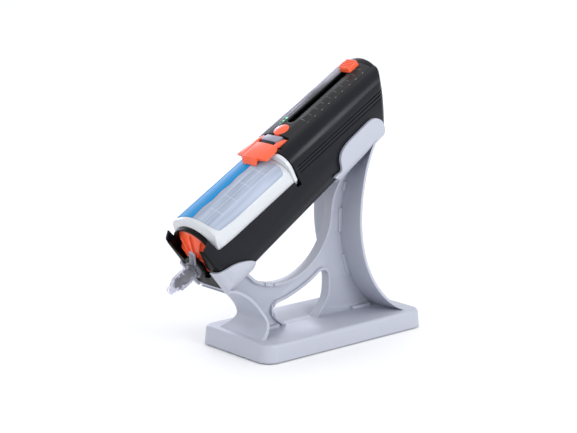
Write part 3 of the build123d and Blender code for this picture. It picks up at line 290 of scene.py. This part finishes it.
# --- Works inside ---------------------------------------------------------------------
# Plates, motors, gears, screw, rods and cells behind the cartridge, seen only through
# the slot and when the plunger has come forward.

inner_plastic = moulded(
    "dark_nylon", (0.10, 0.10, 0.12), (0.13, 0.13, 0.15),
    glossy=0.4, dull=0.55, size=1800, depth=0.2,
)
gear_plastic = moulded(
    "natural_acetal", (0.80, 0.79, 0.74), (0.74, 0.73, 0.68),
    glossy=0.3, dull=0.42, size=1800, depth=0.15,
)
motor_steel = metal("zinced_can", (0.58, 0.58, 0.60), glossy=0.25, dull=0.45)
cell_wrap = moulded(
    "cell_sleeve", (0.05, 0.12, 0.30), (0.04, 0.10, 0.26),
    glossy=0.25, dull=0.35, size=900, depth=0.1,
)
board_resin = moulded(
    "board_black_green", (0.004, 0.016, 0.008), (0.003, 0.01, 0.006),
    glossy=0.4, dull=0.5, size=700, depth=0.2,
)
for node in ("bulkhead", "carriage", "button_switch", "charging_socket"):
    cad_finish(node, inner_plastic)
for node in ("mixer_gear", "mixer_pinion", "feed_gear", "feed_pinion"):
    cad_finish(node, gear_plastic)
for node in (
    "motor_plate", "rear_plate", "lead_screw", "plunger_rods",
    "plunger_discs", "drive_shaft", "latch_pin",
):
    cad_finish(node, bright_steel)
for node in ("mixer_motor", "feed_motor"):
    cad_finish(node, motor_steel)
cad_finish("battery_cells", cell_wrap)
cad_finish("circuit_board", board_resin)


# --- Top strip ------------------------------------------------------------------------
# An inlaid strip in a duller, speckled black, with a printed travel scale beside the
# slot, three small lights on its far side and the start button in front.

strip_plastic = moulded(
    "textured_strip", (0.005, 0.005, 0.006), (0.012, 0.012, 0.014),
    glossy=0.42, dull=0.6, size=1400, depth=0.5, shine=0.4,
)
strip = eased("top_panel", "dispenser", edge=0.00015)
strip.data.materials.append(strip_plastic)

# The dispenser's own measures: its crest line starts at this point and leans back.
# The outlet's axis lies shaft_depth below it.
twist = next(joint for joint in frame["joints"] if joint["name"] == "tip_twist")
lean = math.radians(30)
shaft_depth, outlet_step = 0.053, 0.010
along = Vector((0, math.cos(lean), math.sin(lean)))
rise = Vector((0, -math.sin(lean), math.cos(lean)))
crest = Vector(twist["pos_m"]) + along * outlet_step + rise * shaft_depth
lying = Matrix.Translation(crest) @ Matrix.Rotation(lean, 4, "X")


def laid(piece, target=None, gap=0.0):
    """Turn a piece, its length along Y, onto the crest line and drop it on a target."""
    alone(piece)
    bpy.ops.object.transform_apply(location=True, rotation=True, scale=True)
    piece.matrix_world = lying
    bpy.context.view_layer.update()
    if not target:
        bpy.ops.object.transform_apply(location=True, rotation=True, scale=True)
        return
    drop = piece.modifiers.new("drop", "SHRINKWRAP")
    drop.target = target
    drop.wrap_method = "PROJECT"
    drop.use_project_z = True
    drop.use_negative_direction = True
    drop.use_positive_direction = False
    drop.offset = gap
    bpy.ops.object.modifier_apply(modifier=drop.name)
    bpy.ops.object.transform_apply(location=True, rotation=True, scale=True)


scale_start, tick_step, tick_count, tick_width = 0.1805, 0.00196, 46, 0.00022
tick_root, short_reach, long_reach = 0.0068, 0.0105, 0.0150
digit_across, digit_step, digit_size = 0.0189, 0.010682, 0.0027
print_height = 0.004
scale_marks = []
for row in range(tick_count):
    reach = long_reach if row % 5 == 0 else short_reach
    place = ((tick_root + reach) / 2, scale_start + row * tick_step, print_height)
    bpy.ops.mesh.primitive_grid_add(
        x_subdivisions=8, y_subdivisions=1, size=1, location=place
    )
    tick = bpy.context.object
    tick.scale = (reach - tick_root, tick_width, 1)
    scale_marks.append(tick)
for number in range(1, 10):
    place = (digit_across, scale_start + (number - 1) * digit_step, print_height)
    bpy.ops.object.text_add(location=place)
    digit = bpy.context.object
    digit.data.body = str(number)
    digit.data.size = digit_size
    digit.data.align_x = "CENTER"
    digit.data.align_y = "CENTER"
    digit.data.resolution_u = 3
    bpy.ops.object.convert(target="MESH")
    scale_marks.append(bpy.context.object)
bpy.ops.object.select_all(action="DESELECT")
for mark in scale_marks:
    mark.select_set(True)
bpy.context.view_layer.objects.active = scale_marks[0]
bpy.ops.object.transform_apply(location=True, rotation=True, scale=True)
bpy.ops.object.join()
printed = bpy.context.object
printed.name = "travel_scale"
printed.data.name = "travel_scale"
bpy.ops.object.mode_set(mode="EDIT")
bpy.ops.mesh.select_all(action="SELECT")
bpy.ops.mesh.quads_convert_to_tris()
bpy.ops.object.mode_set(mode="OBJECT")
ink_height = 0.00008
laid(printed, strip, ink_height)
white_ink = moulded(
    "white_ink", (0.40, 0.41, 0.44), (0.22, 0.225, 0.24),
    glossy=0.5, dull=0.6, size=900, depth=0.05,
)
printed.data.materials.clear()
printed.data.materials.append(white_ink)
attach(printed, "dispenser")


# --- Lights and start button ----------------------------------------------------------
# Three small lenses let into the strip, lit green and brighter towards the rear, and
# a domed glossy orange key that stands a little proud of its hole.

lens = bpy.data.materials.new("green_lens")
lens.use_nodes = True
glow = lens.node_tree.nodes["Principled BSDF"]
glow.inputs["Roughness"].default_value = 0.12
glow.inputs["Emission Strength"].default_value = 1.2
place = lens.node_tree.nodes.new("ShaderNodeTexCoord")
split = lens.node_tree.nodes.new("ShaderNodeSeparateXYZ")
rank = lens.node_tree.nodes.new("ShaderNodeMapRange")
first_light, lights_reach = 0.166, 0.011
start = (lying @ Vector((0, first_light, 0))).y
rank.inputs["From Min"].default_value = start
rank.inputs["From Max"].default_value = start + lights_reach
shine = lens.node_tree.nodes.new("ShaderNodeMix")
shine.data_type = "RGBA"
shine.inputs["A"].default_value = (0.01, 0.05, 0.03, 1)
shine.inputs["B"].default_value = (0.15, 0.85, 0.4, 1)
lens.node_tree.links.new(place.outputs["Object"], split.inputs["Vector"])
lens.node_tree.links.new(split.outputs["Y"], rank.inputs["Value"])
lens.node_tree.links.new(rank.outputs["Result"], shine.inputs["Factor"])
lens.node_tree.links.new(shine.outputs["Result"], glow.inputs["Base Color"])
lens.node_tree.links.new(shine.outputs["Result"], glow.inputs["Emission Color"])
cad_finish("indicator_lights", lens)

orange = moulded(
    "orange_gloss", (0.95, 0.125, 0.04), (0.90, 0.10, 0.032),
    glossy=0.2, dull=0.3, size=1600, depth=0.05,
)
key = eased("start_button", "start_key", edge=0.0004)
key.data.materials.append(orange)


# --- Slider knob ----------------------------------------------------------------------
# The orange thumb piece on the plunger's carriage, ribbed across its top.

knob = eased("slider_knob", "plunger", edge=0.0003)
knob.data.materials.append(orange)


# --- Hinge block and latch ------------------------------------------------------------
# A satin grey block in the strip holds the hinge pin; the orange flap turns on it
# and its tongue holds the cartridge's rear flange down.

hinge_plastic = moulded(
    "satin_grey", (0.30, 0.30, 0.38), (0.26, 0.26, 0.34),
    glossy=0.25, dull=0.4, size=2000, depth=0.1,
)
block = eased("hinge_block", "dispenser", edge=0.0004)
block.data.materials.append(hinge_plastic)
flap = eased("latch", "latch_flap", edge=0.0005)
flap.data.materials.append(orange)


# --- Cartridge shell ------------------------------------------------------------------
# The white outer skin of the twin cartridge, glossy polypropylene, thin enough to
# let a little light through.

white_skin = moulded(
    "white_polypropylene", (0.63, 0.65, 0.685), (0.60, 0.62, 0.655),
    glossy=0.25, dull=0.35, size=1500, depth=0.05,
)
skin = eased("cartridge_shell", "dispenser", edge=0.0005)
skin.data.materials.append(white_skin)
barrels = eased("cartridge_barrels", "dispenser", edge=0.0006)
barrels.data.materials.append(white_skin)


# --- Cartridge label ------------------------------------------------------------------
# A printed film wrapped over the crown of the shell: a plain blue field on the far
# side, a thin orange line, and a silvery field with blank boxes for notes.

label_front, label_back, corner = 0.0232, 0.1212, 0.005
sheet_half, film_thickness, film_gap = 0.034, 0.0001, 0.00012
front_half, half_gain, gain_length = 0.0331, 0.0009, 0.022
bpy.ops.mesh.primitive_grid_add(
    x_subdivisions=72,
    y_subdivisions=84,
    size=1,
    location=(0, (label_front + label_back) / 2, 0.002),
)
film = bpy.context.object
film.name = "cartridge_label"
film.scale = (2 * sheet_half, label_back - label_front, 1)
alone(film)
bpy.ops.object.transform_apply(location=True, rotation=True, scale=True)
for point in film.data.vertices:
    from_front, from_back = point.co.y - label_front, label_back - point.co.y
    half = front_half + half_gain * min(1, from_front / gain_length)
    near_end = min(from_front, from_back)
    if near_end < corner:
        half -= corner - math.sqrt(max(0, corner**2 - (corner - near_end) ** 2))
    point.co.x *= half / sheet_half
laid(film, frame["nodes"]["cartridge_shell"], film_gap)
wall = film.modifiers.new("wall", "SOLIDIFY")
wall.thickness = film_thickness
wall.offset = 1
bpy.ops.object.modifier_apply(modifier=wall.name)
bpy.ops.object.shade_smooth()

print_ink = bpy.data.materials.new("printed_film")
print_ink.use_nodes = True
nodes, links = print_ink.node_tree.nodes, print_ink.node_tree.links
sheen = nodes["Principled BSDF"]
sheen.inputs["Roughness"].default_value = 0.38
sheen.inputs["Specular IOR Level"].default_value = 0.03

# The inks are placed in the dispenser's own measures, across and along its crest.
place = nodes.new("ShaderNodeTexCoord")
unlean = nodes.new("ShaderNodeMapping")
unlean.inputs["Rotation"].default_value = (-lean, 0, 0)
unlean.inputs["Location"].default_value = lying.inverted().to_translation()
apart = nodes.new("ShaderNodeSeparateXYZ")
links.new(place.outputs["Object"], unlean.inputs["Vector"])
links.new(unlean.outputs["Vector"], apart.inputs["Vector"])


def inside(source, low, high, soft=0.0001):
    """A mask that is white where the value lies between two limits."""
    up = nodes.new("ShaderNodeMapRange")
    up.inputs["From Min"].default_value = low - soft
    up.inputs["From Max"].default_value = low + soft
    down = nodes.new("ShaderNodeMapRange")
    down.inputs["From Min"].default_value = high + soft
    down.inputs["From Max"].default_value = high - soft
    both = nodes.new("ShaderNodeMath")
    both.operation = "MULTIPLY"
    links.new(source, up.inputs["Value"])
    links.new(source, down.inputs["Value"])
    links.new(up.outputs["Result"], both.inputs[0])
    links.new(down.outputs["Result"], both.inputs[1])
    return both.outputs["Value"]


def over(under, colour, mask):
    """One ink printed over another where the mask is white."""
    ink = nodes.new("ShaderNodeMix")
    ink.data_type = "RGBA"
    links.new(under, ink.inputs["A"])
    ink.inputs["B"].default_value = (*colour, 1)
    links.new(mask, ink.inputs["Factor"])
    return ink.outputs["Result"]


# The silver field: fine streaks along the cartridge under a grid of note boxes.
stretch = nodes.new("ShaderNodeMapping")
stretch.inputs["Scale"].default_value = (130, 9, 9)
streaks = nodes.new("ShaderNodeTexNoise")
streaks.inputs["Scale"].default_value = 1
streaks.inputs["Detail"].default_value = 2
silver = nodes.new("ShaderNodeValToRGB")
silver.color_ramp.elements[0].position = 0.36
silver.color_ramp.elements[0].color = (0.31, 0.37, 0.455, 1)
silver.color_ramp.elements[1].position = 0.66
silver.color_ramp.elements[1].color = (0.47, 0.52, 0.645, 1)
links.new(unlean.outputs["Vector"], stretch.inputs["Vector"])
links.new(stretch.outputs["Vector"], streaks.inputs["Vector"])
links.new(streaks.outputs["Fac"], silver.inputs["Fac"])
boxes = nodes.new("ShaderNodeTexBrick")
boxes.inputs["Scale"].default_value = 1
boxes.inputs["Brick Width"].default_value = 0.021
boxes.inputs["Row Height"].default_value = 0.0085
boxes.inputs["Mortar Size"].default_value = 0.00018
boxes.inputs["Mortar Smooth"].default_value = 0
boxes.inputs["Color1"].default_value = (0, 0, 0, 1)
boxes.inputs["Color2"].default_value = (0, 0, 0, 1)
boxes.inputs["Mortar"].default_value = (1, 1, 1, 1)
boxes.offset = 0
quarter = nodes.new("ShaderNodeMapping")
quarter.inputs["Rotation"].default_value = (0, 0, math.radians(90))
links.new(unlean.outputs["Vector"], quarter.inputs["Vector"])
links.new(quarter.outputs["Vector"], boxes.inputs["Vector"])
notes_left, notes_right = 0.0085, 0.0262
note_field = nodes.new("ShaderNodeMath")
note_field.operation = "MULTIPLY"
links.new(inside(apart.outputs["X"], notes_left, notes_right), note_field.inputs[0])
links.new(boxes.outputs["Color"], note_field.inputs[1])

# The blue field's edge swings to and fro along the cartridge, with an orange line.
line_left, line_right, far_side = 0.0066, 0.0072, -0.05
wave = nodes.new("ShaderNodeTexNoise")
wave.inputs["Scale"].default_value = 42
wave.inputs["Detail"].default_value = 0
only_along = nodes.new("ShaderNodeMapping")
only_along.inputs["Scale"].default_value = (0, 1, 0)
links.new(unlean.outputs["Vector"], only_along.inputs["Vector"])
links.new(only_along.outputs["Vector"], wave.inputs["Vector"])
swing = nodes.new("ShaderNodeMath")
swing.operation = "MULTIPLY_ADD"
swing.inputs[1].default_value = 0.009
links.new(wave.outputs["Fac"], swing.inputs[0])
links.new(apart.outputs["X"], swing.inputs[2])
ink = over(silver.outputs["Color"], (0.62, 0.65, 0.78), note_field.outputs["Value"])
ink = over(ink, (0.90, 0.34, 0.12), inside(swing.outputs["Value"], line_left, line_right))
ink = over(ink, (0.012, 0.25, 0.56), inside(swing.outputs["Value"], far_side, line_left))
links.new(ink, sheen.inputs["Base Color"])
film.data.materials.append(print_ink)
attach(film, "dispenser")


# --- Cartridge cap and pistons --------------------------------------------------------
# The orange cone that joins both barrels to the outlet, with ribs that meet at the
# collar; the pistons behind it are the same white as the barrels.

cap = eased("cartridge_cap", "dispenser", edge=0.0003)
cap.data.materials.append(orange)
for node in ("base_piston", "catalyst_piston"):
    cad_finish(node, white_skin)

# The black ring round the outlet, in which the collar's bayonet locks.
ring_inner, ring_outer, ring_edge = 0.0097, 0.0132, 0.0007
ring_front, ring_rear = 0.0008, 0.0052
ring_middle = (0, ring_rear, -shaft_depth)
bpy.ops.mesh.primitive_circle_add(
    vertices=72,
    radius=ring_inner,
    fill_type="NOTHING",
    location=ring_middle,
    rotation=(math.pi / 2, 0, 0),
)
ring = bpy.context.object
ring.name = "outlet_ring"
alone(ring)
bpy.ops.object.mode_set(mode="EDIT")
bpy.ops.mesh.select_all(action="SELECT")
bpy.ops.mesh.extrude_region_move()
bpy.ops.transform.resize(
    value=(ring_outer / ring_inner,) * 3, center_override=ring_middle
)
bpy.ops.mesh.select_all(action="SELECT")
bpy.ops.mesh.extrude_region_move(
    TRANSFORM_OT_translate={"value": (0, ring_front - ring_rear, 0)}
)
bpy.ops.mesh.select_all(action="SELECT")
bpy.ops.mesh.normals_make_consistent(inside=False)
bpy.ops.object.mode_set(mode="OBJECT")
laid(ring)
rounding = ring.modifiers.new("rounding", "BEVEL")
rounding.width = ring_edge
rounding.segments = 3
rounding.limit_method = "ANGLE"
rounding.angle_limit = math.radians(50)
bpy.ops.object.modifier_apply(modifier=rounding.name)
bpy.ops.object.shade_smooth_by_angle(angle=math.radians(40))
ring.data.materials.append(face_plastic)
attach(ring, "dispenser")


# --- Mixing tip -----------------------------------------------------------------------
# A milky clear barrel with a shoulder and a nozzle, seated in a grey bayonet collar;
# the dark rotor with its rows of blades shows dimly through the wall.

clear = bpy.data.materials.new("clear_polycarbonate")
clear.use_nodes = True
glass = clear.node_tree.nodes["Principled BSDF"]
glass.inputs["Base Color"].default_value = (0.76, 0.76, 0.83, 1)
glass.inputs["Transmission Weight"].default_value = 0.88
glass.inputs["IOR"].default_value = 1.12
marks = clear.node_tree.nodes.new("ShaderNodeTexNoise")
marks.inputs["Scale"].default_value = 260
spot = clear.node_tree.nodes.new("ShaderNodeTexCoord")
haze = clear.node_tree.nodes.new("ShaderNodeMapRange")
haze.inputs["To Min"].default_value = 0.33
haze.inputs["To Max"].default_value = 0.42
clear.node_tree.links.new(spot.outputs["Object"], marks.inputs["Vector"])
clear.node_tree.links.new(marks.outputs["Fac"], haze.inputs["Value"])
clear.node_tree.links.new(haze.outputs["Result"], glass.inputs["Roughness"])
tube = eased("mixing_tip", "tip", edge=0.0)
tube.data.materials.append(clear)

# The collar is one grey moulding painted in two tones: darker on the collar as painted shade
# where it sits in the bezel's hole, lighter on the two tabs that the fingers turn as painted
# light where they catch the lamps.
collar_painted_shade = moulded(
    "grey_collar_painted_shade", (0.14, 0.14, 0.17), (0.11, 0.11, 0.135),
    glossy=0.22, dull=0.34, size=1600, depth=0.08,
)
tab_painted_light = moulded(
    "grey_tab_painted_light", (0.36, 0.36, 0.44), (0.32, 0.32, 0.40),
    glossy=0.25, dull=0.36, size=1600, depth=0.08,
)
collar = eased("tip_collar", "tip", edge=0.0003)
collar.data.materials.append(collar_painted_shade)
collar.data.materials.append(tab_painted_light)
tab_root = 0.0105
outlet_middle, outlet_way = Vector(twist["pos_m"]), Vector(twist["axis"]).normalized()
# Faces further from the axis than tab_root take the lighter painted-light grey; the rest keep
# the darker painted shade.
for panel in collar.data.polygons:
    across_axis = panel.center - outlet_middle
    across_axis -= outlet_way * across_axis.dot(outlet_way)
    if across_axis.length > tab_root:
        panel.material_index = 1

rotor_plastic = moulded(
    "dark_rotor", (0.003, 0.003, 0.006), (0.006, 0.006, 0.01),
    glossy=0.35, dull=0.45, size=1600, depth=0.1, shine=0.2,
)
rotor = eased("mixer_rotor", "mixer_shaft", edge=0.0002)
rotor.data.materials.append(rotor_plastic)


# --- Studio ---------------------------------------------------------------------------
# A plain pale table that runs out of sight, a bright soft room, a broad light from
# the stand's open side and a weaker one behind. The cards only show as reflections.

bpy.ops.mesh.primitive_plane_add(size=24, location=(0, 0, 0))
table = bpy.context.object
table.name = "studio_table"
table_white = bpy.data.materials.new("pale_table")
table_white.use_nodes = True
top = table_white.node_tree.nodes["Principled BSDF"]
top.inputs["Base Color"].default_value = (0.985, 0.985, 0.985, 1)
top.inputs["Roughness"].default_value = 0.75
top.inputs["Specular IOR Level"].default_value = 0.2
table.data.materials.append(table_white)

room = bpy.data.worlds.new("soft_room")
bpy.context.scene.world = room
room.use_nodes = True
room.node_tree.nodes["Background"].inputs["Color"].default_value = (0.97, 0.98, 1.0, 1)
room.node_tree.nodes["Background"].inputs["Strength"].default_value = 1.05
bpy.context.scene.view_settings.view_transform = "Standard"


def softbox(name, spot, aim, size, power, tint=(1, 1, 1), card=False):
    """A square soft light turned to its aim, or a card seen in glossy skins alone."""
    bpy.ops.object.light_add(type="AREA", location=spot)
    box = bpy.context.object
    box.name = name
    box.data.shape = "SQUARE"
    box.data.size = size
    box.data.energy = power
    box.data.color = tint
    box.visible_diffuse = not card
    box.rotation_mode = "QUATERNION"
    box.rotation_quaternion = (Vector(aim) - Vector(spot)).to_track_quat("-Z", "Y")


cool, bluish = (0.90, 0.94, 1.0), (0.80, 0.80, 1.0)
middle = (0, 0.05, 0.2)
softbox("side_light", (1.65, 0.1, 0.95), (0, 0, 0.15), 0.7, power=9)
softbox("back_light", (-1.6, 1.0, 0.55), middle, 0.7, power=4, tint=bluish)
softbox("side_card", (1.45, 0.65, 0.95), middle, 0.9, power=8, tint=cool, card=True)
softbox("far_card", (-1.5, 0.5, 0.65), middle, 0.7, power=4.5, tint=bluish, card=True)
